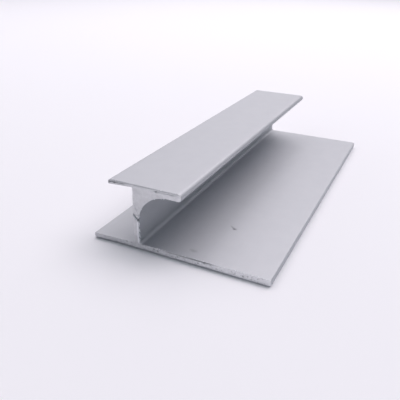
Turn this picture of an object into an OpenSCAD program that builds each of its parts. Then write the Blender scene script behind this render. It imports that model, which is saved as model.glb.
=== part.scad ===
// Aluminium extrusion profile: a short sawn length of H-section joining bar.
// It lies on its wide base flange, X runs across it, Y along the length and Z up.
// The origin is under the middle of the base.

/* [Stock] */
// Length of the cut piece
length = 88; // [20:1:400]

/* [Base flange] */
// Width of the base flange
base_w = 40.2; // [30:0.1:80]
// Thickness of the base flange on the wide side of the web
base_t = 1.6; // [1.2:0.1:3]
// Thickness at the edge of the narrow side, which tapers
base_edge_t = 1.3; // [1:0.1:3]

/* [Web] */
// Distance from the narrow edge of the base to the web
web_setback = 10.2; // [7:0.1:15]
// Thickness of the web
web_t = 1.3; // [0.8:0.1:3]

/* [Top flange] */
// Height from the floor to the top of the profile
total_h = 15; // [13:0.5:30]
// Reach of the thin lip on the narrow side of the web
lip_reach = 5.75; // [3:0.05:9]
// Thickness of the lip at the web
lip_root_t = 0.7; // [0.6:0.05:2]
// Thickness of the lip at its edge
lip_edge_t = 1.05; // [0.9:0.05:2]
// Reach of the wing on the wide side of the web
wing_reach = 9.8; // [9:0.1:20]
// Thickness of the wing beyond the cove
wing_t = 1.6; // [1.4:0.1:3]

/* [Radii] */
// Radius of the cove between the web and the underside of the wing
cove_r = 6.6; // [2:0.1:8]
// Radius of the fillets at the foot of the web
foot_r = 0.8; // [0.2:0.1:1]
// Radius in the corner under the lip
lip_root_r = 0.2; // [0.1:0.1:0.6]
// Radius of the upper edge of the lip
lip_edge_r = 0.6; // [0.1:0.05:0.7]
// Radius of the lower edge of the lip
lip_under_r = 0.25; // [0.1:0.05:0.3]
// Radius of the upper edge of the wing
wing_edge_r = 1; // [0.2:0.1:1]
// Radius of the lower edge of the wing
wing_under_r = 0.35; // [0.1:0.05:0.4]
// Radius that breaks the long edges of the base
edge_r = 0.15; // [0.1:0.05:0.3]

/* [Hidden] */
$fn = 96;
// How far a corner piece runs on into the faces that it joins, or past those that it trims
corner_overlap = 0.05;
// Faces of the web, measured from the narrow edge of the base
web_left = web_setback;
web_right = web_setback + web_t;
// Rise of the inner face of the two tapered halves for each step away from the web
base_slope = (base_edge_t - base_t) / web_setback;
lip_slope = (lip_edge_t - lip_root_t) / lip_reach;

// Corner piece with a concave arc: it fills an inside corner, or trims an outside one when cut away.
// A wall runs up from the origin, a floor leaves it along +X with the given slope, and the arc touches both.
module arc_corner(r, slope = 0) {
    step = sqrt(1 + slope * slope);
    centre = [r, r * (slope + step)];
    floor_touch = centre + r / step * [slope, -1];
    wall_touch = [0, centre.y];
    difference() {
        polygon([
            wall_touch - [corner_overlap, 0],
            [-corner_overlap, -2 * corner_overlap],
            floor_touch - [0, corner_overlap],
            floor_touch,
            centre,
            wall_touch
        ]);
        translate(centre) circle(r);
    }
}

// Half of a flange, from the face of the web out to +X, with its flat outer face on the X axis.
// It runs back through the web, and its thickness may taper on the inner face.
module flange_half(reach, root_t, edge_t, outer_r, inner_r) {
    difference() {
        polygon([[-web_t, 0], [reach, 0], [reach, edge_t], [0, root_t], [-web_t, root_t]]);
        translate([reach, 0]) mirror([1, 0]) arc_corner(outer_r);
        translate([reach, edge_t]) rotate(180) arc_corner(inner_r, (edge_t - root_t) / reach);
    }
}

module base_flange() {
    translate([web_right, 0])
        flange_half(base_w - web_right, base_t, base_t, edge_r, edge_r);
    translate([web_left, 0]) mirror([1, 0])
        flange_half(web_setback, base_t, base_edge_t, edge_r, edge_r);
}

module top_flange() {
    translate([web_right, total_h]) mirror([0, 1])
        flange_half(wing_reach, wing_t, wing_t, wing_edge_r, wing_under_r);
    translate([web_left, total_h]) rotate(180)
        flange_half(lip_reach, lip_root_t, lip_edge_t, lip_edge_r, lip_under_r);
}

module web() {
    translate([web_left, 0]) square([web_t, total_h]);
}

module inside_corners() {
    translate([web_right, total_h - wing_t]) mirror([0, 1]) arc_corner(cove_r);
    translate([web_left, total_h - lip_root_t]) rotate(180) arc_corner(lip_root_r, lip_slope);
    translate([web_right, base_t]) arc_corner(foot_r);
    translate([web_left, base_t]) mirror([1, 0]) arc_corner(foot_r, base_slope);
}

// Cross-section, with X across the base from its narrow edge and Y up from the floor.
module section() {
    base_flange();
    web();
    top_flange();
    inside_corners();
}

module extruded_profile() {
    color("silver")
        rotate([90, 0, 0])
        linear_extrude(height = length, center = true)
        translate([-base_w / 2, 0])
        section();
}

extruded_profile();
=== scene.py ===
"""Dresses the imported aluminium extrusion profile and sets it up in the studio.

The bar is one sawn length of extruded stock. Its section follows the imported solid, except that the edge of
the wing is a little rounder below. This script adds what the solid leaves out: the relief and the damage of
the sawn ends, their burrs, and the finishes. All lengths are in metres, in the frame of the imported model: X
across the base, Y along the bar, Z up.
"""

import logging
import math
from dataclasses import dataclass
from enum import Enum

import bpy
import numpy as np
from mathutils import Matrix, Vector, noise
from mathutils.geometry import delaunay_2d_cdt

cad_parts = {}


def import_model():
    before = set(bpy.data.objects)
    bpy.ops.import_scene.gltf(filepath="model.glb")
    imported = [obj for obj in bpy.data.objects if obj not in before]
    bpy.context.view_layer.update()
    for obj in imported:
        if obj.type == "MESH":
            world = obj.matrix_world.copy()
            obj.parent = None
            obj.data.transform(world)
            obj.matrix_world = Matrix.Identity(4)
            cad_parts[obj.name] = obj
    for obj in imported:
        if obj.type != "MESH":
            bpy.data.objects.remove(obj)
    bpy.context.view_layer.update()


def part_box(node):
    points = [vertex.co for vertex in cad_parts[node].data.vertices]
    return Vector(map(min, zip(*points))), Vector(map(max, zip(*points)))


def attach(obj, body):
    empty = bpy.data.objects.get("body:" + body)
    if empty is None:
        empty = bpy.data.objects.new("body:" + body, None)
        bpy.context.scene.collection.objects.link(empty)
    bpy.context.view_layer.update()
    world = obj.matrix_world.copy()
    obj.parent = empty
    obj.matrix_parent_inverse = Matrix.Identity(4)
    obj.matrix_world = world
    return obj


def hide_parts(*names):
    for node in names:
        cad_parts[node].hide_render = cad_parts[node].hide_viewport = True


MM = 0.001
NODE = "extruded_profile"
BODY = "root"
RELIEF = "relief"
log = logging.getLogger("profile")

Colour = tuple[float, float, float, float]
Socket = bpy.types.NodeSocket
Inputs = dict[str | int, object]


class End(Enum):
    """The two sawn ends of the bar. The value is the direction along Y that the end faces."""

    NEAR = -1
    FAR = 1


class Turn(Enum):
    """The corners of the section in order, anticlockwise as seen from the near end."""

    BASE_LOW_LEFT = 0
    BASE_LOW_RIGHT = 1
    BASE_HIGH_RIGHT = 2
    FOOT_RIGHT = 3
    COVE = 4
    WING_LOW = 5
    WING_HIGH = 6
    LIP_HIGH = 7
    LIP_LOW = 8
    LIP_ROOT = 9
    FOOT_LEFT = 10
    BASE_HIGH_LEFT = 11


class Layer(Enum):
    """The random fields of a sawn end. The value is added to the seed of the end."""

    DRIFT = 0
    ROUGH = 1
    RIM = 2
    ROLL = 3


# Steps between points on the straight runs of the outline, with finer ones on the runs after some corners
RUN_STEP = 0.5 * MM
FINE_STEPS = {
    Turn.BASE_HIGH_RIGHT: 0.2 * MM,
    Turn.FOOT_RIGHT: 0.12 * MM,
    Turn.LIP_ROOT: 0.12 * MM,
    Turn.FOOT_LEFT: 0.25 * MM,
}

# Steps through Blender's noise from one seed to the next
SEED_STEPS = (17.3, 5.9, 41.1)


def link_object(name: str, data: bpy.types.ID) -> bpy.types.Object:
    """Makes an object and puts it in the scene.

    Args:
        name: Name of the object.
        data: Its mesh, lamp or camera.

    Returns:
        The object.
    """
    made = bpy.data.objects.new(name, data)
    bpy.context.scene.collection.objects.link(made)
    return made


def rough_field(points: np.ndarray, size: float, seed: int) -> np.ndarray:
    """Smooth random values, from about -1 to 1, at points in X and Z, in lumps of the given size."""
    shift = Vector([step * seed for step in SEED_STEPS])
    return np.array([noise.noise(Vector(p).to_3d() / size + shift) for p in points.tolist()])


@dataclass(frozen=True)
class Corner:
    """A corner of the section, rounded by an arc of the given radius."""

    x: float
    z: float
    radius: float


@dataclass(frozen=True)
class Outline:
    """The closed outline of the section as points, with the place of each corner's arc among them."""

    points: np.ndarray
    arc_first: list[int]
    arc_last: list[int]

    def stretch(self, start: Turn, stop: Turn) -> np.ndarray:
        """Numbers of the points from the end of one corner's arc to the start of a later one's."""
        return np.arange(self.arc_last[start.value], self.arc_first[stop.value] + 1)

    def normals(self) -> np.ndarray:
        """Unit normals of the outline at its points, which point out of the metal.

        Returns:
            An array with one row of X and Z for each point.
        """
        along = np.roll(self.points, -1, axis=0) - np.roll(self.points, 1, axis=0)
        along /= np.linalg.norm(along, axis=1)[:, None]
        return np.stack([along[:, 1], -along[:, 0]], axis=1)

    def nearest(self, points: np.ndarray) -> np.ndarray:
        """Numbers of the outline's points that lie nearest to other points in X and Z."""
        return np.array([np.argmin(np.hypot(*(self.points - p).T)) for p in points])

    def depth(self, points: np.ndarray) -> np.ndarray:
        """How deep points lie inside the outline.

        Args:
            points: Points in X and Z, one row each.

        Returns:
            The distance from the outline at each point, below zero outside it.
        """
        inside = np.zeros(len(points), dtype=bool)
        gap = np.full(len(points), np.inf)
        for start, stop in zip(self.points, np.roll(self.points, -1, axis=0)):
            run = stop - start
            if run[1] != 0:
                spans = (start[1] > points[:, 1]) != (stop[1] > points[:, 1])
                crossing = start[0] + (points[:, 1] - start[1]) * run[0] / run[1]
                inside ^= spans & (points[:, 0] < crossing)
            share = np.clip(((points - start) @ run) / (run @ run), 0, 1)
            gap = np.minimum(gap, np.linalg.norm(points - start - share[:, None] * run, axis=1))
        return np.where(inside, gap, -gap)


@dataclass(frozen=True)
class Section:
    """Cross-section of the bar in X and Z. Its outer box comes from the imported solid."""

    left: float
    right: float
    floor: float
    top: float
    base_t: float = 1.6 * MM
    base_edge_t: float = 1.3 * MM
    web_setback: float = 10.2 * MM
    web_t: float = 1.3 * MM
    lip_reach: float = 5.75 * MM
    lip_root_t: float = 0.7 * MM
    lip_edge_t: float = 1.05 * MM
    wing_reach: float = 9.8 * MM
    wing_t: float = 1.6 * MM
    cove_r: float = 6.6 * MM
    foot_r: float = 0.8 * MM
    lip_root_r: float = 0.2 * MM
    lip_edge_r: float = 0.6 * MM
    lip_under_r: float = 0.25 * MM
    wing_edge_r: float = 0.85 * MM
    wing_under_r: float = 0.7 * MM
    edge_r: float = 0.15 * MM
    chord_error: float = 0.002 * MM
    least_chords: int = 4

    @property
    def web_left(self) -> float:
        """X of the face of the web on the narrow side."""
        return self.left + self.web_setback

    @property
    def web_right(self) -> float:
        """X of the face of the web on the wide side."""
        return self.web_left + self.web_t

    @property
    def base_top(self) -> float:
        """Z of the upper face of the base."""
        return self.floor + self.base_t

    def corners(self) -> list[Corner]:
        """Corners of the section in the order of Turn.

        Returns:
            One corner for each member of Turn.
        """
        wing_edge = self.web_right + self.wing_reach
        wing_under = self.top - self.wing_t
        lip_edge = self.web_left - self.lip_reach
        return [
            Corner(self.left, self.floor, self.edge_r),
            Corner(self.right, self.floor, self.edge_r),
            Corner(self.right, self.base_top, self.edge_r),
            Corner(self.web_right, self.base_top, self.foot_r),
            Corner(self.web_right, wing_under, self.cove_r),
            Corner(wing_edge, wing_under, self.wing_under_r),
            Corner(wing_edge, self.top, self.wing_edge_r),
            Corner(lip_edge, self.top, self.lip_edge_r),
            Corner(lip_edge, self.top - self.lip_edge_t, self.lip_under_r),
            Corner(self.web_left, self.top - self.lip_root_t, self.lip_root_r),
            Corner(self.web_left, self.base_top, self.foot_r),
            Corner(self.left, self.floor + self.base_edge_t, self.edge_r),
        ]

    def arc(self, before: Corner, corner: Corner, after: Corner) -> list[Vector]:
        """Points on the arc that rounds one corner.

        Args:
            before: The corner before it on the outline.
            corner: The corner to round.
            after: The corner after it.

        Returns:
            The points of the arc, in the order of the outline.
        """
        here = Vector((corner.x, corner.z))
        arriving = (here - Vector((before.x, before.z))).normalized()
        leaving = (Vector((after.x, after.z)) - here).normalized()
        cross = arriving.x * leaving.y - arriving.y * leaving.x
        turn = math.atan2(cross, arriving.dot(leaving))
        first = here - arriving * corner.radius * math.tan(abs(turn) / 2)
        inward = Vector((-arriving.y, arriving.x)) * math.copysign(1.0, turn)
        centre = first + inward * corner.radius
        step = 2 * math.acos(1 - self.chord_error / corner.radius)
        count = max(self.least_chords, math.ceil(abs(turn) / step))
        spoke = first - centre
        return [centre + Matrix.Rotation(turn * k / count, 2) @ spoke for k in range(count + 1)]

    def outline(self) -> Outline:
        """The whole outline: an arc at each corner, and straight runs between them.

        Returns:
            The outline, anticlockwise as seen from the near end.
        """
        corners = self.corners()
        count = len(corners)
        arcs = [self.arc(corners[k - 1], corners[k], corners[(k + 1) % count]) for k in range(count)]
        points: list[Vector] = []
        arc_first: list[int] = []
        arc_last: list[int] = []
        for k, arc in enumerate(arcs):
            arc_first.append(len(points))
            points += arc
            arc_last.append(len(points) - 1)
            start = arc[-1]
            run = arcs[(k + 1) % count][0] - start
            parts = max(1, round(run.length / FINE_STEPS.get(Turn(k), RUN_STEP)))
            points += [start + run * (j / parts) for j in range(1, parts)]
        return Outline(np.array([tuple(p) for p in points]), arc_first, arc_last)


@dataclass(frozen=True)
class Pit:
    """A small bite that the saw tore out of a sawn face. Its rings are shares of its radius."""

    x: float
    z: float
    radius: float
    depth: float
    rings: tuple[float, ...] = (0.3, 0.6, 0.95)
    ring_points: int = 12

    def sink(self, points: np.ndarray) -> np.ndarray:
        """How deep the bite lies under the face at points in X and Z."""
        away = np.hypot(points[:, 0] - self.x, points[:, 1] - self.z) / self.radius
        return self.depth * np.clip(1 - away**2, 0, None)

    def fine_points(self) -> np.ndarray:
        """Points that the mesh needs to show the bite.

        Returns:
            Points on rings round its middle, in X and Z.
        """
        points = [(self.x, self.z)]
        for ring in self.rings:
            reach = ring * self.radius
            for k in range(self.ring_points):
                angle = 2 * math.pi * (k + ring) / self.ring_points
                points.append((self.x + reach * math.cos(angle), self.z + reach * math.sin(angle)))
        return np.array(points)


@dataclass(frozen=True)
class Tear:
    """A torn line across a sawn face, with a raised lip along its lower side.

    A depth below zero makes a ridge. The sizes with a value here are shares of its width, and end_fade is a
    share of half its length.
    """

    start: tuple[float, float]
    stop: tuple[float, float]
    width: float
    depth: float
    lip: float
    groove_width: float = 0.5
    lip_place: float = -0.9
    lip_width: float = 0.4
    end_fade: float = 0.2
    mesh_span: tuple[float, float] = (-1.6, 1.3)
    mesh_step: float = 0.25

    def sink(self, points: np.ndarray) -> np.ndarray:
        """How deep the torn line lies under the face.

        Args:
            points: Points of the face in X and Z.

        Returns:
            The depth at each point. It is below zero on the raised lip.
        """
        start = np.array(self.start)
        run = np.array(self.stop) - start
        length = np.linalg.norm(run)
        run /= length
        rel = points - start
        along = rel @ run / length
        across = rel @ np.array([-run[1], run[0]]) / self.width
        within = np.clip(1 - np.abs(along - 0.5) * 2, 0, self.end_fade) / self.end_fade
        groove = self.depth * np.exp(-((across / self.groove_width) ** 2))
        lip = self.lip * np.exp(-(((across - self.lip_place) / self.lip_width) ** 2))
        return within * (groove - lip)

    def fine_points(self) -> np.ndarray:
        """Points that the mesh needs to show the tear.

        Returns:
            Points in rows along it, in X and Z.
        """
        start = np.array(self.start)
        run = np.array(self.stop) - start
        length = np.linalg.norm(run)
        side = np.array([-run[1], run[0]]) / length * self.width
        count = math.ceil(length / (self.mesh_step * self.width))
        spread = np.arange(*self.mesh_span, self.mesh_step)
        return np.array([start + run * (k / count) + side * j for k in range(count + 1) for j in spread])


@dataclass(frozen=True)
class RolledRim:
    """A stretch of an end's rim that the saw dragged over: its corners, its span in X and its radius."""

    start: Turn
    stop: Turn
    low: float
    high: float
    radius: float


@dataclass(frozen=True)
class SawCut:
    """One sawn end of the bar: its place, the marks of the blade, its worn rims and its damage."""

    end: End
    y: float
    floor: float
    seed: int
    blade_centre: tuple[float, float]
    pits: tuple[Pit, ...]
    tears: tuple[Tear, ...]
    rolls: tuple[RolledRim, ...]
    tooth_pitch: float = 0.55 * MM
    tooth_depth: float = 0.010 * MM
    tooth_wander: float = 3.0
    tooth_even: float = 0.6
    drift_size: float = 2.1 * MM
    rough_size: float = 0.35 * MM
    rough_depth: float = 0.05 * MM
    rim_radius: float = 0.05 * MM
    rim_least: float = 0.02 * MM
    rim_ragged: float = 0.04 * MM
    rim_lump: float = 1.4 * MM
    roll_mean: float = 0.75
    roll_ragged: float = 0.5
    roll_lump: float = 0.7 * MM
    roll_fade: float = 2.1 * MM
    lift_left: float = 0.66 * MM
    lift_right: float = 0.30 * MM
    lift_slope: tuple[float, float] = (-16.0 * MM, 12.0 * MM)
    lift_fade: tuple[float, float] = (-20.0 * MM, -15.0 * MM)
    lift_corner: float = 0.45
    lift_run: float = 3.6 * MM
    reach: float = 3.8 * MM
    relief_depth: float = 0.16 * MM
    least_length: float = 1e-9

    def field(self, points: np.ndarray, size: float, layer: Layer) -> np.ndarray:
        """One of this end's random fields at points, in lumps of the given size."""
        return rough_field(points, size, self.seed + layer.value)

    def rim_radii(self, outline: Outline) -> np.ndarray:
        """How round the rim of this end is.

        Args:
            outline: The outline of the section.

        Returns:
            A radius for each point of the outline.
        """
        radii = self.rim_radius + self.rim_ragged * self.field(outline.points, self.rim_lump, Layer.RIM)
        for roll in self.rolls:
            numbers = outline.stretch(roll.start, roll.stop)
            points = outline.points[numbers]
            inset = np.minimum(points[:, 0] - roll.low, roll.high - points[:, 0])
            share = np.clip(inset / self.roll_fade, 0, 1)
            ragged = self.roll_mean + self.roll_ragged * self.field(points, self.roll_lump, Layer.ROLL)
            radii[numbers] = np.maximum(radii[numbers], share * roll.radius * ragged)
        return np.maximum(radii, self.rim_least)

    def round_rim(
        self, points: np.ndarray, depth: np.ndarray, normals: np.ndarray, radii: np.ndarray
    ) -> np.ndarray:
        """Rounds the rim of this end.

        Args:
            points: Points of the bar, one row of X, Y and Z each.
            depth: How deep each point lies inside the outline.
            normals: Normal of the outline near each point.
            radii: Radius of the rim near each point.

        Returns:
            The same points, moved.
        """
        inside = (self.y - points[:, 1]) * self.end.value
        corner = 1 - math.sqrt(0.5)
        on_face = (inside <= 0) & (depth < radii)
        on_side = (depth <= 0) & (inside < radii)
        sunk = np.where(on_face, corner * radii + (1 - corner) * depth, depth)
        back = np.where(on_side, corner * radii + (1 - corner) * inside, inside)
        curve = radii - np.sqrt(np.maximum(radii**2 - (radii - sunk) ** 2, 0))
        back = np.where(on_face & ~on_side, curve, back)
        sunk = np.where(on_side, radii - np.sqrt(np.maximum(radii**2 - (radii - back) ** 2, 0)), sunk)
        moved = points.copy()
        moved[:, [0, 2]] -= normals * (sunk - depth)[:, None]
        moved[:, 1] = self.y - back * self.end.value
        return moved

    def sink(self, points: np.ndarray) -> np.ndarray:
        """How far the sawn face lies inside the flat end.

        Args:
            points: Points of the face in X and Z.

        Returns:
            The depth at each point.
        """
        blade = np.hypot(points[:, 0] - self.blade_centre[0], points[:, 1] - self.blade_centre[1])
        drift = self.field(points, self.drift_size, Layer.DRIFT)
        tooth = np.sin(2 * math.pi * blade / self.tooth_pitch + self.tooth_wander * drift)
        strength = self.tooth_even + (1 - self.tooth_even) * drift
        depth = self.tooth_depth * (0.5 + 0.5 * tooth * strength)
        depth += self.rough_depth * self.field(points, self.rough_size, Layer.ROUGH)
        for mark in self.pits + self.tears:
            depth += mark.sink(points)
        return depth

    def relief(self, points: np.ndarray) -> np.ndarray:
        """Share at points, from -1 in the deepest damage of this end to 1 on the highest."""
        sunk = sum(mark.sink(points) for mark in self.pits + self.tears)
        return np.clip(-sunk / self.relief_depth, -1, 1)

    def fine_points(self) -> np.ndarray:
        """Points in X and Z that the mesh of this end needs to show its damage."""
        return np.concatenate([mark.fine_points() for mark in self.pits + self.tears])

    def wear(self, points: np.ndarray) -> np.ndarray:
        """Moves points near the end to its sawn shape, with the lower edge curled up off the floor.

        Args:
            points: Points of the bar, one row of X, Y and Z each.

        Returns:
            The same points, moved.
        """
        moved = points.copy()
        inside = (self.y - points[:, 1]) * self.end.value
        near = inside < self.reach
        depth = np.zeros(len(points))
        depth[near] = self.sink(points[near][:, [0, 2]])
        inside = np.where(near, depth + inside * (1 - depth / self.reach), inside)
        height = points[:, 2] - self.floor
        lift = np.interp(points[:, 0], self.lift_slope, (self.lift_left, self.lift_right))
        lift *= np.interp(points[:, 0], self.lift_fade, (self.lift_corner, 1.0))
        rise = np.clip(1 - height / lift, 0, 1)
        back = np.clip(1 - inside / self.lift_run, 0, 1)
        length = np.maximum(np.hypot(rise, back), self.least_length)
        press = near & (rise > 0) & (back > 0) & (length > 1)
        height = np.where(press, lift * (1 - rise / length), height)
        inside = np.where(press, self.lift_run * (1 - back / length), inside)
        moved[:, 1] = self.y - inside * self.end.value
        moved[:, 2] = self.floor + height
        return moved


@dataclass(frozen=True)
class Scuff:
    """A small dull mark on the base, pressed in a little."""

    x: float
    y: float
    z: float
    length: float
    width: float
    heading: float
    depth: float
    darkness: float

    def dent(self, points: np.ndarray) -> np.ndarray:
        """Depth of the mark.

        Args:
            points: Points of the bar, one row of X, Y and Z each.

        Returns:
            The depth at each point.
        """
        rel = points[:, :2] - np.array([self.x, self.y])
        run = np.array([math.cos(self.heading), math.sin(self.heading)])
        along = rel @ run / self.length
        across = rel @ np.array([-run[1], run[0]]) / self.width
        return self.depth * np.exp(-2 * (along**2 + across**2))


@dataclass
class ProfileBar:
    """The whole bar as one closed mesh: the drawn faces in rows along the length, and the two sawn ends.

    scuff_reach is a share of a scuff's length, fine_gap one of face_step, and merge_gap is in millimetres.
    """

    section: Section
    cuts: tuple[SawCut, SawCut]
    scuffs: tuple[Scuff, ...]
    row_first: float = 0.05 * MM
    row_growth: float = 1.35
    row_most: float = 2.0 * MM
    scuff_row: float = 0.2 * MM
    scuff_reach: float = 1.5
    face_step: float = 0.16 * MM
    face_margin: float = 0.04 * MM
    fine_gap: float = 0.5
    merge_gap: float = 1e-6
    sliver_depth: float = 0.00001 * MM
    tolerance: float = 0.001 * MM
    sharp_from: float = math.radians(38)

    def __post_init__(self) -> None:
        """Works out the outline that the other methods share."""
        self.outline = self.section.outline()

    def rows(self) -> np.ndarray:
        """Places of the rows along Y: close together at the ends and round the scuffs.

        Returns:
            The places from the near end to the far one.
        """
        near, far = (cut.y for cut in self.cuts)
        half = (far - near) / 2
        offsets = [0.0]
        step = self.row_first
        while offsets[-1] + step < half:
            offsets.append(offsets[-1] + step)
            step = min(step * self.row_growth, self.row_most)
        places = {near + offset for offset in offsets} | {far - offset for offset in offsets}
        for scuff in self.scuffs:
            count = math.ceil(self.scuff_reach * scuff.length / self.scuff_row)
            places |= {scuff.y + k * self.scuff_row for k in range(-count, count + 1)}
        return np.array(sorted(place for place in places if near <= place <= far))

    def face_points(self) -> np.ndarray:
        """Points inside the section: a staggered grid, and the finer points round the damage of both ends.

        Returns:
            The points in X and Z.
        """
        outline = self.outline.points
        low = outline.min(axis=0)
        high = outline.max(axis=0)
        lift = self.face_step * math.sqrt(3) / 2
        grid = []
        for k in range(1, math.ceil((high[1] - low[1]) / lift)):
            shift = 0.5 * (k % 2) * self.face_step
            xs = np.arange(low[0] + shift, high[0], self.face_step)
            grid.append(np.stack([xs, np.full(len(xs), low[1] + k * lift)], axis=1))
        fine = np.concatenate([cut.fine_points() for cut in self.cuts])
        points = np.concatenate(grid)
        gap = self.fine_gap * self.face_step
        clear = np.array([np.min(np.hypot(*(fine - p).T)) > gap for p in points])
        points = np.concatenate([points[clear], fine])
        return points[self.outline.depth(points) > self.face_margin]

    def face_triangles(self, inner: np.ndarray) -> list[tuple[int, int, int]]:
        """Triangles that fill the section.

        Args:
            inner: The points inside the section.

        Returns:
            Triangles of point numbers, anticlockwise from the near end. The outline's points come first.
        """
        points = np.concatenate([self.outline.points, inner])
        count = len(self.outline.points)
        edges = [(k, (k + 1) % count) for k in range(count)]
        places = [Vector(p) for p in (points / MM).tolist()]
        whole_hull = 0
        result = delaunay_2d_cdt(places, edges, [], whole_hull, self.merge_gap, True)
        number = [sources[0] for sources in result[3]]
        faces = np.array([[number[k] for k in face] for face in result[2]])
        kept = self.outline.depth(points[faces].mean(axis=1)) > self.sliver_depth
        return [tuple(face) for face in faces[kept].tolist()]

    def points(self, rows: np.ndarray, inner: np.ndarray) -> tuple[np.ndarray, np.ndarray]:
        """Points of the bar: the outline at each row, then those inside the near and the far end.

        Args:
            rows: Places of the rows along Y.
            inner: The points inside the section.

        Returns:
            One row of X, Y and Z for each point, and how far damage stands out there or lies in.
        """
        count = len(self.outline.points)
        blocks = [np.insert(self.outline.points, 1, y, axis=1) for y in rows]
        blocks += [np.insert(inner, 1, cut.y, axis=1) for cut in self.cuts]
        points = np.concatenate(blocks)
        on_base = np.abs(points[:, 2] - self.section.base_top) < self.tolerance
        for scuff in self.scuffs:
            points[:, 2] -= np.where(on_base, scuff.dent(points), 0)
        near_inner = np.tile(self.outline.nearest(inner), 2)
        near_ring = np.concatenate([np.tile(np.arange(count), len(rows)), near_inner])
        depth = np.concatenate([np.zeros(count * len(rows)), np.tile(self.outline.depth(inner), 2)])
        normals = self.outline.normals()[near_ring]
        relief = np.zeros(len(points))
        for cut in self.cuts:
            on_cut = np.abs(points[:, 1] - cut.y) < self.tolerance
            relief[on_cut] = cut.relief(points[on_cut][:, [0, 2]])
        for cut in self.cuts:
            radii = cut.rim_radii(self.outline)[near_ring]
            points = cut.wear(cut.round_rim(points, depth, normals, radii))
        return points, relief

    def faces(self, row_count: int, inner: np.ndarray) -> tuple[list[tuple[int, ...]], int]:
        """Faces of the bar: the drawn ones, then those of the near and the far end.

        Args:
            row_count: How many rows there are.
            inner: The points inside the section.

        Returns:
            The faces as point numbers, and how many of them are drawn.
        """
        count = len(self.outline.points)
        faces: list[tuple[int, ...]] = []
        for row in range(row_count - 1):
            here = row * count
            for k in range(count):
                after = (k + 1) % count
                faces.append((here + k, here + count + k, here + count + after, here + after))
        drawn = len(faces)
        triangles = self.face_triangles(inner)
        last_ring = (row_count - 1) * count
        near_face = row_count * count
        far_face = near_face + len(inner)
        for ring_start, inner_start, order in ((0, near_face, 1), (last_ring, far_face, -1)):
            for face in triangles:
                numbers = [ring_start + k if k < count else inner_start + k - count for k in face]
                faces.append(tuple(numbers[::order]))
        return faces, drawn

    def build(self, satin: bpy.types.Material, sawn: bpy.types.Material) -> bpy.types.Object:
        """Makes the bar.

        Args:
            satin: Finish of the drawn faces.
            sawn: Finish of the sawn ends.

        Returns:
            The object, with its place in its mesh.
        """
        rows = self.rows()
        inner = self.face_points()
        points, relief = self.points(rows, inner)
        faces, drawn = self.faces(len(rows), inner)
        mesh = bpy.data.meshes.new("profile_bar")
        mesh.from_pydata(points.tolist(), [], faces)
        mesh.materials.append(satin)
        mesh.materials.append(sawn)
        finish = np.zeros(len(faces), dtype=np.int32)
        finish[drawn:] = 1
        mesh.polygons.foreach_set("material_index", finish)
        mesh.polygons.foreach_set("use_smooth", np.ones(len(faces), dtype=bool))
        mesh.attributes.new(RELIEF, "FLOAT", "POINT").data.foreach_set("value", relief)
        mesh.set_sharp_from_angle(angle=self.sharp_from)
        mesh.update()
        return link_object("profile_bar", mesh)


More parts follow.
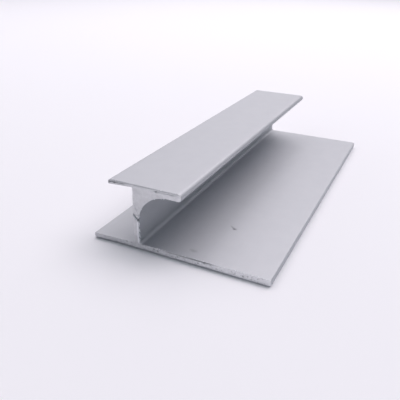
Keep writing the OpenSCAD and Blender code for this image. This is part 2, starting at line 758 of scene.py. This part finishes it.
class NodeBench:
    """Adds nodes to one tree and joins them."""

    def __init__(self, tree: bpy.types.NodeTree) -> None:
        """Keeps the tree to work on."""
        self.tree = tree

    def add(self, kind: str, inputs: Inputs | None = None, **settings: object) -> bpy.types.Node:
        """Adds a node.

        Args:
            kind: Blender's name of the type of node.
            inputs: What goes into the node.
            settings: Properties of the node.

        Returns:
            The new node.
        """
        node = self.tree.nodes.new(kind)
        for name, value in settings.items():
            setattr(node, name, value)
        self.feed(node, inputs or {})
        return node

    def feed(self, node: bpy.types.Node, inputs: Inputs) -> None:
        """Fills inputs of a node.

        Args:
            node: The node.
            inputs: For the name or number of each input, a socket to join to it, or a plain value.
        """
        for name, value in inputs.items():
            if isinstance(value, Socket):
                self.tree.links.new(value, node.inputs[name])
            else:
                node.inputs[name].default_value = value

    def maths(self, operation: str, *values: object) -> Socket:
        """Adds a Math node for sockets or numbers."""
        return self.add("ShaderNodeMath", dict(enumerate(values)), operation=operation).outputs[0]

    def blend(self, share: object, first: object, second: object) -> Socket:
        """Adds a Mix node for colours.

        Args:
            share: How much of the second colour.
            first: Colour at a share of 0.
            second: Colour at a share of 1.

        Returns:
            The mixed colour's socket.
        """
        node = self.add("ShaderNodeMix", data_type="RGBA")
        numbers = {socket.identifier: k for k, socket in enumerate(node.inputs)}
        for name, value in (("Factor_Float", share), ("A_Color", first), ("B_Color", second)):
            self.feed(node, {numbers[name]: value})
        return next(socket for socket in node.outputs if socket.identifier == "Result_Color")

    def attribute(self, name: str, kind: str) -> Socket:
        """Reads a named attribute of a type of data in a geometry tree."""
        node = self.add("GeometryNodeInputNamedAttribute", {"Name": name}, data_type=kind)
        return next(socket for socket in node.outputs if socket.enabled)

    def chance(self, kind: str, low: object, high: object, seed: Socket) -> Socket:
        """Draws a random value for each point in a geometry tree.

        Args:
            kind: Blender's name of the type of data.
            low: Lowest value.
            high: Highest value.
            seed: Seed of the draw.

        Returns:
            The value's socket.
        """
        node = self.add("FunctionNodeRandomValue", {"Seed": seed}, data_type=kind)
        sockets = enumerate(node.inputs)
        ends = [k for k, socket in sockets if socket.enabled and socket.name in ("Min", "Max")]
        self.feed(node, dict(zip(ends, (low, high))))
        return next(socket for socket in node.outputs if socket.enabled)

    def ramp(self, value: object, low: float, high: float, at_low: float, at_high: float) -> Socket:
        """Maps a value from the range low to high to the range at_low to at_high, with a smooth step."""
        inputs = dict(enumerate((value, low, high, at_low, at_high)))
        return self.add("ShaderNodeMapRange", inputs, interpolation_type="SMOOTHSTEP").outputs[0]

    def stretched_noise(self, coords: Socket, scale: tuple[float, float, float], detail: float) -> Socket:
        """Adds a noise whose lumps may be longer one way.

        Args:
            coords: The coordinates, in metres.
            scale: Lumps for each metre along X, Y and Z.
            detail: How many finer layers it has.

        Returns:
            The noise's value, from 0 to 1.
        """
        mapping = self.add("ShaderNodeMapping", {"Vector": coords, "Scale": scale})
        inputs = {"Vector": mapping.outputs[0], "Scale": 1.0, "Detail": detail}
        return self.add("ShaderNodeTexNoise", inputs).outputs["Fac"]


class GroupBench(NodeBench):
    """A bench on a new node group: start holds what comes in, and stop is the node for what goes out."""

    def __init__(self, name: str, kind: str, inputs: dict[str, str], outputs: dict[str, str]) -> None:
        """Starts the group.

        Args:
            name: Name of the group.
            kind: Blender's name of the type of tree.
            inputs: Name and type of each input.
            outputs: Name and type of each output.
        """
        super().__init__(bpy.data.node_groups.new(name, kind))
        for way, sockets in (("INPUT", inputs), ("OUTPUT", outputs)):
            for label, socket in sockets.items():
                self.tree.interface.new_socket(label, in_out=way, socket_type="NodeSocket" + socket)
        self.start = self.add("NodeGroupInput").outputs
        self.stop = self.add("NodeGroupOutput")


class MetalBench(NodeBench):
    """A bench on a new metal material, with the coordinates and the mottle that all the metal has."""

    def __init__(self, name: str, mottle: bpy.types.NodeTree) -> None:
        """Starts the material.

        Args:
            name: Name of the material.
            mottle: The group for cloud and grain.
        """
        self.material = bpy.data.materials.new(name)
        self.material.use_nodes = True
        super().__init__(self.material.node_tree)
        self.coords = self.add("ShaderNodeTexCoord").outputs["Object"]
        metal = self.add("ShaderNodeGroup", {"Coordinates": self.coords}, node_tree=mottle)
        self.cloud = metal.outputs["Cloud"]
        self.grain = metal.outputs["Grain"]

    def finish(self, colour: Socket, rough: Socket, height: Socket) -> bpy.types.Material:
        """Joins the surface to the material's shader.

        Args:
            colour: The base colour.
            rough: The roughness.
            height: Height of the relief, in metres.

        Returns:
            The material.
        """
        bump = self.add("ShaderNodeBump", {"Distance": 1.0, "Height": height})
        inputs = {
            "Base Color": colour,
            "Roughness": rough,
            "Normal": bump.outputs["Normal"],
            "Metallic": 1.0,
        }
        self.feed(self.tree.nodes["Principled BSDF"], inputs)
        return self.material


@dataclass(frozen=True)
class Rim:
    """A stretch of the rims that carries burrs: how much of it, and how large they are."""

    start: Turn
    stop: Turn
    share: float
    size: float


@dataclass(frozen=True)
class Shard:
    """One large burr at a place on the near rim, with the way it points."""

    x: float
    z: float
    heading: tuple[float, float, float]
    size: float


@dataclass
class CutBurrs:
    """Small curled flakes of metal that the saw left on the rims of both ends.

    flake_root is the share of a flake's length below its root, and shard_root a share of the spacing.
    """

    outline: Outline
    cuts: tuple[SawCut, SawCut]
    shards: tuple[Shard, ...]
    rims: tuple[Rim, ...] = (
        Rim(Turn.BASE_HIGH_RIGHT, Turn.FOOT_RIGHT, 0.16, 0.7),
        Rim(Turn.FOOT_RIGHT, Turn.COVE, 0.6, 1.1),
        Rim(Turn.FOOT_RIGHT, Turn.WING_LOW, 0.2, 0.6),
        Rim(Turn.WING_HIGH, Turn.LIP_HIGH, 0.05, 0.5),
        Rim(Turn.FOOT_LEFT, Turn.BASE_HIGH_LEFT, 0.12, 0.6),
    )
    spacing: float = 0.22 * MM
    smallest: float = 0.5
    largest: float = 1.0
    end_lean: float = 0.8
    lean: float = 0.7
    seed: int = 5
    shard_root: float = 0.1
    flake_length: float = 0.46 * MM
    flake_width: float = 0.36 * MM
    flake_t: float = 0.07 * MM
    flake_curl: float = math.radians(65)
    flake_root: float = 0.3
    flake_narrowing: float = 0.75
    flake_thinning: float = 0.6
    flake_steps: int = 3

    def flake(self) -> bpy.types.Object:
        """Makes one flake, which stands on its root, narrows and curls over.

        Returns:
            The flake.
        """
        spot = Vector((0.0, 0.0, -self.flake_root * self.flake_length))
        step = Vector((0.0, 0.0, (1 + self.flake_root) * self.flake_length / self.flake_steps))
        points: list[Vector] = []
        for k in range(self.flake_steps + 1):
            share = k / self.flake_steps
            bend = Matrix.Rotation(share * self.flake_curl, 3, "Y")
            half_w = self.flake_width / 2 * (1 - self.flake_narrowing * share)
            half_t = self.flake_t / 2 * (1 - self.flake_thinning * share)
            for x, y in ((-half_t, -half_w), (half_t, -half_w), (half_t, half_w), (-half_t, half_w)):
                points.append(spot + bend @ Vector((x, y, 0.0)))
            spot = spot + bend @ step
        faces: list[tuple[int, ...]] = [(3, 2, 1, 0)]
        last = 4 * self.flake_steps
        for k in range(0, last, 4):
            faces += [(k + j, k + (j + 1) % 4, k + 4 + (j + 1) % 4, k + 4 + j) for j in range(4)]
        faces.append((last, last + 1, last + 2, last + 3))
        mesh = bpy.data.meshes.new("burr_flake")
        mesh.from_pydata([tuple(p) for p in points], [], faces)
        return link_object("burr_flake", mesh)

    def carrier(self) -> bpy.types.Object:
        """Makes the lines along the rims that the flakes stand on.

        Returns:
            An object of loose edges, with the direction, share and size of the flakes at each point.
        """
        normals = self.outline.normals()
        points: list[np.ndarray] = []
        edges: list[tuple[int, int]] = []
        outward: list[np.ndarray] = []
        share: list[float] = []
        size: list[float] = []
        for cut in self.cuts:
            for rim in self.rims:
                numbers = self.outline.stretch(rim.start, rim.stop)
                line = cut.wear(np.insert(self.outline.points[numbers], 1, cut.y, axis=1))
                first = len(points)
                points += list(line)
                edges += [(first + k, first + k + 1) for k in range(len(line) - 1)]
                outward += list(np.insert(normals[numbers], 1, self.end_lean * cut.end.value, axis=1))
                share += [rim.share] * len(line)
                size += [rim.size] * len(line)
        near = self.cuts[0]
        for shard in self.shards:
            first = len(points)
            root = np.array([shard.x, near.y, shard.z])
            points += [root, root + np.array([0.0, 0.0, self.shard_root * self.spacing])]
            edges.append((first, first + 1))
            outward += [np.array(shard.heading)] * 2
            share += [1.0] * 2
            size += [shard.size] * 2
        mesh = bpy.data.meshes.new("cut_burrs")
        mesh.from_pydata([tuple(p) for p in points], edges, [])
        ways = mesh.attributes.new("outward", "FLOAT_VECTOR", "POINT")
        ways.data.foreach_set("vector", np.concatenate(outward))
        mesh.attributes.new("share", "FLOAT", "POINT").data.foreach_set("value", share)
        mesh.attributes.new("size", "FLOAT", "POINT").data.foreach_set("value", size)
        return link_object("cut_burrs", mesh)

    def tree(self) -> bpy.types.NodeTree:
        """Builds the node tree that sets flakes along the lines.

        Returns:
            The tree, with named inputs for the flake, the spacing, the sizes, the lean and the seed.
        """
        inputs = {
            "Lines": "Geometry",
            "Flake": "Object",
            "Spacing": "Float",
            "Smallest": "Float",
            "Largest": "Float",
            "Lean": "Float",
            "Seed": "Int",
            "Finish": "Material",
        }
        bench = GroupBench("burrs_on_rims", "GeometryNodeTree", inputs, {"Burrs": "Geometry"})
        start = bench.start
        seeds = [bench.maths("ADD", start["Seed"], float(k)) for k in range(3)]
        curve = bench.add("GeometryNodeMeshToCurve", {"Mesh": start["Lines"]})
        inputs = {"Curve": curve.outputs["Curve"], "Length": start["Spacing"]}
        spread = bench.add("GeometryNodeResampleCurve", inputs, mode="LENGTH")
        draw = bench.chance("FLOAT", 0.0, 1.0, seeds[0])
        kept = bench.maths("LESS_THAN", draw, bench.attribute("share", "FLOAT"))
        inputs = {
            0: bench.chance("FLOAT_VECTOR", (-1.0,) * 3, (1.0,) * 3, seeds[1]),
            "Scale": start["Lean"],
        }
        stray = bench.add("ShaderNodeVectorMath", inputs, operation="SCALE")
        inputs = {0: bench.attribute("outward", "FLOAT_VECTOR"), 1: stray.outputs[0]}
        way = bench.add("ShaderNodeVectorMath", inputs, operation="ADD")
        aim = bench.add("FunctionNodeAlignRotationToVector", {"Vector": way.outputs[0]}, axis="Z")
        source = bench.add("GeometryNodeObjectInfo", {"Object": start["Flake"]})
        growth = bench.chance("FLOAT", start["Smallest"], start["Largest"], seeds[2])
        inputs = {
            "Points": spread.outputs["Curve"],
            "Selection": kept,
            "Instance": source.outputs["Geometry"],
            "Rotation": aim.outputs["Rotation"],
            "Scale": bench.maths("MULTIPLY", growth, bench.attribute("size", "FLOAT")),
        }
        place = bench.add("GeometryNodeInstanceOnPoints", inputs)
        real = bench.add("GeometryNodeRealizeInstances", {"Geometry": place.outputs["Instances"]})
        inputs = {"Geometry": real.outputs["Geometry"], "Material": start["Finish"]}
        finish = bench.add("GeometryNodeSetMaterial", inputs)
        bench.feed(bench.stop, {"Burrs": finish.outputs["Geometry"]})
        return bench.tree

    def build(self, bright: bpy.types.Material) -> bpy.types.Object:
        """Makes the burrs as one plain mesh.

        Args:
            bright: Finish of the burrs.

        Returns:
            The object, with its place in its mesh.
        """
        flake = self.flake()
        burrs = self.carrier()
        lines = burrs.data
        tree = self.tree()
        modifier = burrs.modifiers.new("burrs_on_rims", "NODES")
        modifier.node_group = tree
        values = {
            "Flake": flake,
            "Spacing": self.spacing,
            "Smallest": self.smallest,
            "Largest": self.largest,
            "Lean": self.lean,
            "Seed": self.seed,
            "Finish": bright,
        }
        for item in tree.interface.items_tree:
            if item.name in values:
                modifier[item.identifier] = values[item.name]
        evaluated = burrs.evaluated_get(bpy.context.evaluated_depsgraph_get())
        mesh = bpy.data.meshes.new_from_object(evaluated)
        burrs.modifiers.clear()
        burrs.data = mesh
        bpy.data.meshes.remove(lines)
        bpy.data.objects.remove(flake)
        mesh.name = "cut_burrs"
        # Set Material leaves an empty slot before its own
        mesh.materials.clear()
        mesh.materials.append(bright)
        mesh.polygons.foreach_set("material_index", np.zeros(len(mesh.polygons), dtype=np.int32))
        return burrs


@dataclass
class SurfaceEffects:
    """Shader node groups that the finishes share. A scuff's reach is a share of its size."""

    cloud_scale: float = 350.0
    cloud_detail: float = 4.0
    cloud_range: tuple[float, float] = (0.3, 0.7)
    grain_scale: float = 9000.0
    grain_detail: float = 2.0
    scuff_lumps: float = 1.6
    scuff_detail: float = 3.0
    scuff_ragged: float = 0.9
    scuff_reach: tuple[float, float] = (0.45, 1.35)

    def metal_mottle(self) -> bpy.types.NodeTree:
        """Cloudy change of tone and a fine grain, as bare aluminium has.

        Returns:
            The group, with the outputs Cloud and Grain from 0 to 1.
        """
        outputs = {"Cloud": "Float", "Grain": "Float"}
        bench = GroupBench("metal_mottle", "ShaderNodeTree", {"Coordinates": "Vector"}, outputs)
        coords = bench.start["Coordinates"]
        cloud = bench.stretched_noise(coords, (self.cloud_scale,) * 3, self.cloud_detail)
        grain = bench.stretched_noise(coords, (self.grain_scale,) * 3, self.grain_detail)
        bench.feed(bench.stop, {"Cloud": bench.ramp(cloud, *self.cloud_range, 0.0, 1.0), "Grain": grain})
        return bench.tree

    def scuff_mark(self) -> bpy.types.NodeTree:
        """A soft ragged mark round a point.

        Returns:
            The group, with the output Mask from 0 to 1.
        """
        inputs = dict.fromkeys(("Coordinates", "Place", "Heading", "Size"), "Vector")
        bench = GroupBench("scuff_mark", "ShaderNodeTree", inputs, {"Mask": "Float"})
        inputs = {
            "Vector": bench.start["Coordinates"],
            "Location": bench.start["Place"],
            "Rotation": bench.start["Heading"],
            "Scale": bench.start["Size"],
        }
        mapping = bench.add("ShaderNodeMapping", inputs, vector_type="TEXTURE")
        length = bench.add("ShaderNodeVectorMath", {0: mapping.outputs[0]}, operation="LENGTH")
        lumps = bench.stretched_noise(mapping.outputs[0], (self.scuff_lumps,) * 3, self.scuff_detail)
        ragged = bench.maths("MULTIPLY", lumps, self.scuff_ragged)
        reach = bench.maths("ADD", length.outputs["Value"], ragged)
        bench.feed(bench.stop, {"Mask": bench.ramp(reach, *self.scuff_reach, 1.0, 0.0)})
        return bench.tree


@dataclass(frozen=True)
class SatinAluminium:
    """The drawn faces: an even satin with faint die lines along the length, and a few scuffs."""

    name: str = "drawn_aluminium"
    colour: Colour = (0.566, 0.580, 0.606, 1.0)
    cloud_colour: Colour = (0.558, 0.572, 0.599, 1.0)
    scuff_colour: Colour = (0.22, 0.22, 0.235, 1.0)
    roughness: float = 0.65
    line_rough: float = 0.05
    cloud_rough: float = 0.01
    scuff_rough: float = 0.15
    line_scale: tuple[float, float, float] = (2600.0, 9.0, 2600.0)
    line_detail: float = 3.0
    line_height: float = 0.003 * MM
    grain_height: float = 0.0008 * MM
    scuff_height: float = 1.0 * MM

    def build(
        self, mottle: bpy.types.NodeTree, mark: bpy.types.NodeTree, scuffs: tuple[Scuff, ...]
    ) -> bpy.types.Material:
        """Makes the material.

        Args:
            mottle: The group for cloud and grain.
            mark: The group for a scuff.
            scuffs: The scuffs on the base.

        Returns:
            The material.
        """
        bench = MetalBench(self.name, mottle)
        lines = bench.stretched_noise(bench.coords, self.line_scale, self.line_detail)
        colour = bench.blend(bench.cloud, self.colour, self.cloud_colour)
        streak = bench.maths("SUBTRACT", lines, 0.5)
        rough = bench.maths("MULTIPLY_ADD", streak, self.line_rough, self.roughness)
        rough = bench.maths("MULTIPLY_ADD", bench.cloud, self.cloud_rough, rough)
        for scuff in scuffs:
            inputs = {
                "Coordinates": bench.coords,
                "Place": (scuff.x, scuff.y, scuff.z),
                "Heading": (0.0, 0.0, scuff.heading),
                "Size": (scuff.length, scuff.width, self.scuff_height),
            }
            spot = bench.add("ShaderNodeGroup", inputs, node_tree=mark)
            dark = bench.maths("MULTIPLY", spot.outputs["Mask"], scuff.darkness)
            colour = bench.blend(dark, colour, self.scuff_colour)
            rough = bench.maths("MULTIPLY_ADD", spot.outputs["Mask"], self.scuff_rough, rough)
        height = bench.maths("MULTIPLY", lines, self.line_height)
        height = bench.maths("MULTIPLY_ADD", bench.grain, self.grain_height, height)
        return bench.finish(colour, rough, height)


@dataclass(frozen=True)
class SawnAluminium:
    """The sawn ends and their burrs: bare metal with tooth marks and dark specks, painted shade in pits and
    grooves, painted highlights on raised lips, and painted shading that darkens each end to the left and low
    down.
    """

    name: str
    blade_centre: tuple[float, float]
    dull: Colour = (0.595, 0.598, 0.615, 1.0)
    bright: Colour = (0.868, 0.872, 0.889, 1.0)
    # Colour of the dark specks, and of the painted shade in pits and grooves
    speck_and_pit_shade: Colour = (0.351, 0.350, 0.369, 1.0)
    # Colour of the painted highlight on raised lips and ridges
    lip_highlight: Colour = (0.956, 0.963, 0.990, 1.0)
    # Painted shading: the sawn ends are darker towards the left and lighter towards the right, as the light
    # falls on them
    shaded_side: float = -20 * MM
    lit_side: float = 20 * MM
    side_shading: tuple[float, float] = (0.18, 0.78)
    # Painted shade: the sawn ends are darker low down, on the base strip next to the floor, and lighter above
    # it
    height_shading: float = 0.06
    low: float = 1.4 * MM
    high: float = 2.6 * MM
    fleck_scale: float = 1100.0
    fleck_detail: float = 3.0
    fleck_share: float = 0.6
    speck_scale: float = 2300.0
    speck_detail: float = 2.0
    speck_range: tuple[float, float] = (0.52, 0.72)
    speck_share: float = 0.45
    speck_high: float = 0.2
    roughness: float = 0.46
    mark_rough: float = 0.10
    mark_pitch: float = 0.14 * MM
    mark_drift: float = 5.0
    mark_height: float = 0.006 * MM
    grain_height: float = 0.006 * MM

    def build(self, mottle: bpy.types.NodeTree) -> bpy.types.Material:
        """Makes the material.

        Args:
            mottle: The group for cloud and grain.

        Returns:
            The material.
        """
        bench = MetalBench(self.name, mottle)
        inputs = {
            "Vector": bench.coords,
            "Location": (-self.blade_centre[0], 0.0, -self.blade_centre[1]),
            "Scale": (1.0, 0.0, 1.0),
        }
        place = bench.add("ShaderNodeMapping", inputs, vector_type="POINT")
        blade = bench.add("ShaderNodeVectorMath", {0: place.outputs[0]}, operation="LENGTH")
        turns = bench.maths("MULTIPLY", blade.outputs["Value"], 2 * math.pi / self.mark_pitch)
        drift = bench.maths("MULTIPLY", bench.cloud, self.mark_drift)
        wave = bench.maths("SINE", bench.maths("ADD", turns, drift))
        marks = bench.maths("MULTIPLY_ADD", wave, 0.5, 0.5)
        axes = bench.add("ShaderNodeSeparateXYZ", {"Vector": bench.coords})
        across = axes.outputs["X"]
        up = axes.outputs["Z"]
        # Painted shading across X: each sawn end darker on the left, lighter on the right
        tone = bench.ramp(across, self.shaded_side, self.lit_side, *self.side_shading)
        # Painted shade near the floor: the end grows lighter from low to high up
        tone = bench.maths("ADD", tone, bench.ramp(up, self.low, self.high, 0.0, self.height_shading))
        fleck = bench.stretched_noise(bench.coords, (self.fleck_scale,) * 3, self.fleck_detail)
        tone = bench.maths("MULTIPLY_ADD", bench.maths("SUBTRACT", fleck, 0.5), self.fleck_share, tone)
        colour = bench.blend(bench.ramp(tone, 0.0, 1.0, 0.0, 1.0), self.dull, self.bright)
        specks = bench.stretched_noise(bench.coords, (self.speck_scale,) * 3, self.speck_detail)
        specks = bench.ramp(specks, *self.speck_range, 0.0, self.speck_share)
        specks = bench.maths("MULTIPLY", specks, bench.ramp(up, self.low, self.high, 1.0, self.speck_high))
        relief = bench.add("ShaderNodeAttribute", attribute_name=RELIEF).outputs["Fac"]
        # Painted highlight: raised lips and ridges of the sawn face are lighter where the relief is above
        # zero
        colour = bench.blend(bench.maths("MAXIMUM", relief, 0.0), colour, self.lip_highlight)
        # Dark specks of the metal, and painted shade in pits and grooves where the relief is below zero
        dark = bench.maths("MAXIMUM", specks, bench.maths("MULTIPLY", relief, -1.0))
        colour = bench.blend(dark, colour, self.speck_and_pit_shade)
        rough = bench.maths("MULTIPLY_ADD", marks, self.mark_rough, self.roughness)
        height = bench.maths("MULTIPLY", marks, self.mark_height)
        height = bench.maths("MULTIPLY_ADD", bench.grain, self.grain_height, height)
        return bench.finish(colour, rough, height)


@dataclass(frozen=True)
class FloorPaper:
    """Pale matt paper under the bar."""

    name: str = "floor_paper"
    colour: Colour = (0.951, 0.955, 0.985, 1.0)
    roughness: float = 0.9
    specular: float = 0.1

    def build(self) -> bpy.types.Material:
        """Makes the material.

        Returns:
            The material.
        """
        material = bpy.data.materials.new(self.name)
        material.use_nodes = True
        shader = material.node_tree.nodes["Principled BSDF"]
        shader.inputs["Base Color"].default_value = self.colour
        shader.inputs["Roughness"].default_value = self.roughness
        shader.inputs["Specular IOR Level"].default_value = self.specular
        return material


@dataclass(frozen=True)
class Softbox:
    """A square soft lamp that faces the bar."""

    name: str
    azimuth: float
    elevation: float
    radiance: float
    colour: tuple[float, float, float] = (1.059, 0.980, 1.013)
    distance: float = 1.0
    size: float = 0.8

    def build(self) -> None:
        """Makes the lamp. Its power follows from the brightness of its face."""
        around = math.radians(self.azimuth)
        up = math.radians(self.elevation)
        away = Vector((math.cos(around) * math.cos(up), math.sin(around) * math.cos(up), math.sin(up)))
        data = bpy.data.lights.new(self.name, "AREA")
        data.shape = "SQUARE"
        data.size = self.size
        data.energy = self.radiance * math.pi * self.size**2
        data.color = self.colour
        lamp = link_object(self.name, data)
        lamp.location = away * self.distance
        lamp.rotation_euler = away.to_track_quat("Z", "Y").to_euler()
        lamp.visible_camera = False


@dataclass
class Studio:
    """Floor, light and camera round the bar."""

    softboxes: tuple[Softbox, ...] = (
        Softbox("right_high_softbox", 45.0, 60.0, 2.36),
        Softbox("right_low_softbox", 60.0, 15.0, 0.22),
        Softbox("back_softbox", 90.0, 35.0, 0.46),
        Softbox("back_high_softbox", 90.0, 60.0, 0.66),
        Softbox("back_low_softbox", 122.0, 18.0, 0.46),
        Softbox("left_high_softbox", 135.0, 60.0, 1.03),
        Softbox("left_low_softbox", 180.0, 35.0, 0.57),
        Softbox("left_softbox", 180.0, 60.0, 0.39),
        Softbox("front_left_softbox", 240.0, 30.0, 0.48),
    )
    ambient: tuple[float, float, float] = (0.088, 0.120, 0.142)
    floor_size: float = 30.0
    eye: tuple[float, float, float] = (39.72 * MM, -117.43 * MM, 54.64 * MM)
    azimuth: float = -25.23
    pitch: float = 26.06
    roll: float = 1.19
    lens: float = 43.70
    sensor_width: float = 36.0
    clip_start: float = 0.005
    clip_end: float = 100.0

    def floor(self, paper: bpy.types.Material, height: float) -> None:
        """Lays the floor.

        Args:
            paper: Material of the floor.
            height: Height of the floor.
        """
        half = self.floor_size / 2
        sides = ((-half, -half), (half, -half), (half, half), (-half, half))
        mesh = bpy.data.meshes.new("floor")
        mesh.from_pydata([(x, y, height) for x, y in sides], [], [(0, 1, 2, 3)])
        mesh.materials.append(paper)
        floor = link_object("floor", mesh)

    def light(self) -> None:
        """Sets the lamps and the even light of the room."""
        for softbox in self.softboxes:
            softbox.build()
        world = bpy.data.worlds.new("studio")
        world.use_nodes = True
        background = world.node_tree.nodes["Background"]
        background.inputs["Color"].default_value = (*self.ambient, 1.0)
        background.inputs["Strength"].default_value = 1.0
        bpy.context.scene.world = world
        bpy.context.scene.view_settings.view_transform = "Standard"

    def camera(self) -> None:
        """Sets the camera at the photograph's angle."""
        data = bpy.data.cameras.new("camera")
        data.sensor_width = self.sensor_width
        data.lens = self.lens
        data.clip_start = self.clip_start
        data.clip_end = self.clip_end
        camera = link_object("camera", data)
        turn = (
            Matrix.Rotation(math.radians(-self.azimuth), 4, "Z")
            @ Matrix.Rotation(math.radians(90 - self.pitch), 4, "X")
            @ Matrix.Rotation(math.radians(self.roll), 4, "Z")
        )
        camera.matrix_world = Matrix.Translation(self.eye) @ turn
        bpy.context.scene.camera = camera


def near_cut(section: Section, y: float) -> SawCut:
    """The near end, with the damage that the photograph shows.

    Args:
        section: The section of the bar.
        y: Place of the end.

    Returns:
        The cut.
    """
    base = section.floor
    pits = (
        Pit(-11.8 * MM, base + 1.35 * MM, 0.30 * MM, 0.13 * MM),
        Pit(-5.2 * MM, base + 1.20 * MM, 0.26 * MM, 0.13 * MM),
        Pit(-4.3 * MM, base + 1.00 * MM, 0.28 * MM, 0.15 * MM),
        Pit(0.3 * MM, base + 1.00 * MM, 0.24 * MM, 0.12 * MM),
        Pit(4.9 * MM, base + 0.85 * MM, 0.24 * MM, 0.12 * MM),
        Pit(6.3 * MM, base + 1.25 * MM, 0.28 * MM, 0.13 * MM),
        Pit(14.5 * MM, base + 0.75 * MM, 0.26 * MM, 0.12 * MM),
        Pit(section.web_right - 0.1 * MM, base + 7.1 * MM, 0.40 * MM, 0.20 * MM),
        Pit(-15.3 * MM, section.top - 0.50 * MM, 0.32 * MM, 0.17 * MM),
        Pit(-14.1 * MM, section.top - 0.48 * MM, 0.26 * MM, 0.12 * MM),
        Pit(-4.4 * MM, section.top - 0.50 * MM, 0.24 * MM, 0.10 * MM),
    )
    web_tear = Tear(
        start=(section.web_left - 0.1 * MM, base + 8.6 * MM),
        stop=(section.web_right + 0.1 * MM, base + 6.9 * MM),
        width=0.26 * MM,
        depth=0.085 * MM,
        lip=0.16 * MM,
    )
    web_scratch = Tear(
        start=(section.web_left + 0.3 * MM, base + 10.6 * MM),
        stop=(section.web_right + 0.1 * MM, base + 7.9 * MM),
        width=0.15 * MM,
        depth=0.05 * MM,
        lip=0.03 * MM,
    )
    web_ridge = Tear(
        start=(section.web_right - 0.3 * MM, base + 7.2 * MM),
        stop=(section.web_right - 0.2 * MM, base + 1.6 * MM),
        width=0.30 * MM,
        depth=-0.16 * MM,
        lip=0.0,
    )
    base_groove = Tear(
        start=(-3.0 * MM, base + 1.40 * MM),
        stop=(8.8 * MM, base + 1.40 * MM),
        width=0.20 * MM,
        depth=0.13 * MM,
        lip=0.05 * MM,
    )
    lip_groove = Tear(
        start=(-15.4 * MM, section.top - 0.50 * MM),
        stop=(-11.6 * MM, section.top - 0.42 * MM),
        width=0.17 * MM,
        depth=0.10 * MM,
        lip=0.04 * MM,
    )
    wing_groove = Tear(
        start=(-5.2 * MM, section.top - 0.50 * MM),
        stop=(0.2 * MM, section.top - 0.46 * MM),
        width=0.15 * MM,
        depth=0.055 * MM,
        lip=0.04 * MM,
    )
    tears = (web_tear, web_scratch, web_ridge, base_groove, lip_groove, wing_groove)
    rolls = (
        RolledRim(Turn.WING_HIGH, Turn.LIP_HIGH, -30 * MM, 30 * MM, 0.42 * MM),
        RolledRim(Turn.BASE_HIGH_RIGHT, Turn.FOOT_RIGHT, -3.0 * MM, 8.6 * MM, 0.10 * MM),
    )
    return SawCut(End.NEAR, y, base, 3, (-60 * MM, -95 * MM), pits, tears, rolls)


def far_cut(section: Section, y: float) -> SawCut:
    """The far end, cut in the same way as the near one.

    Args:
        section: The section of the bar.
        y: Place of the end.

    Returns:
        The cut.
    """
    base = section.floor
    pits = (
        Pit(9.0 * MM, base + 1.4 * MM, 0.28 * MM, 0.15 * MM),
        Pit(-13.0 * MM, base + 0.9 * MM, 0.26 * MM, 0.12 * MM),
        Pit(-1.0 * MM, section.top - 0.3 * MM, 0.25 * MM, 0.12 * MM),
    )
    rolls = (RolledRim(Turn.WING_HIGH, Turn.LIP_HIGH, -30 * MM, 30 * MM, 0.16 * MM),)
    return SawCut(End.FAR, y, base, 8, (70 * MM, -90 * MM), pits, (), rolls)


def base_scuffs(section: Section) -> tuple[Scuff, ...]:
    """The marks on the base that the photograph shows.

    Args:
        section: The section of the bar.

    Returns:
        The scuffs.
    """
    z = section.base_top
    return (
        Scuff(6.7 * MM, -29.0 * MM, z, 0.8 * MM, 0.75 * MM, math.radians(140), 0.03 * MM, 0.65),
        Scuff(6.1 * MM, -28.5 * MM, z, 1.4 * MM, 0.45 * MM, math.radians(140), 0.02 * MM, 0.4),
        Scuff(2.6 * MM, -41.2 * MM, z, 1.6 * MM, 1.0 * MM, math.radians(160), 0.01 * MM, 0.16),
    )


def web_shards(section: Section) -> tuple[Shard, ...]:
    """The large burrs that stand beside the tear in the web.

    Args:
        section: The section of the bar.

    Returns:
        The burrs.
    """
    x = section.web_right - 0.15 * MM
    return (
        Shard(x, section.floor + 8.15 * MM, (1.0, -0.5, 0.5), 2.3),
        Shard(x, section.floor + 6.8 * MM, (0.8, -1.0, 0.2), 1.7),
    )


def main() -> None:
    """Builds the bar, its burrs, the studio and the camera, and reports each piece."""
    logging.basicConfig(level=logging.INFO, format="%(name)s: %(message)s")
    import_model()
    low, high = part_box(NODE)
    section = Section(left=low[0], right=high[0], floor=low[2], top=high[2])
    cuts = (near_cut(section, low[1]), far_cut(section, high[1]))
    scuffs = base_scuffs(section)
    effects = SurfaceEffects()
    mottle = effects.metal_mottle()
    satin = SatinAluminium().build(mottle, effects.scuff_mark(), scuffs)
    sawn = SawnAluminium("sawn_aluminium", cuts[0].blade_centre).build(mottle)
    # The burrs are pale: fresh metal, with a painted highlight in their colour
    bright = SawnAluminium(
        "bright_burr",
        cuts[0].blade_centre,
        dull=(0.880, 0.886, 0.912, 1.0),
        bright=SawnAluminium.lip_highlight,
        speck_share=0.0,
        roughness=0.4,
    ).build(mottle)
    profile = ProfileBar(section, cuts, scuffs)
    bar = profile.build(satin, sawn)
    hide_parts(NODE)
    burrs = CutBurrs(profile.outline, cuts, web_shards(section)).build(bright)
    for piece in (bar, burrs):
        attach(piece, BODY)
        log.info("%s: %d faces", piece.name, len(piece.data.polygons))

    studio = Studio()
    studio.floor(FloorPaper().build(), section.floor)
    studio.light()
    studio.camera()


if __name__ == "__main__":
    main()
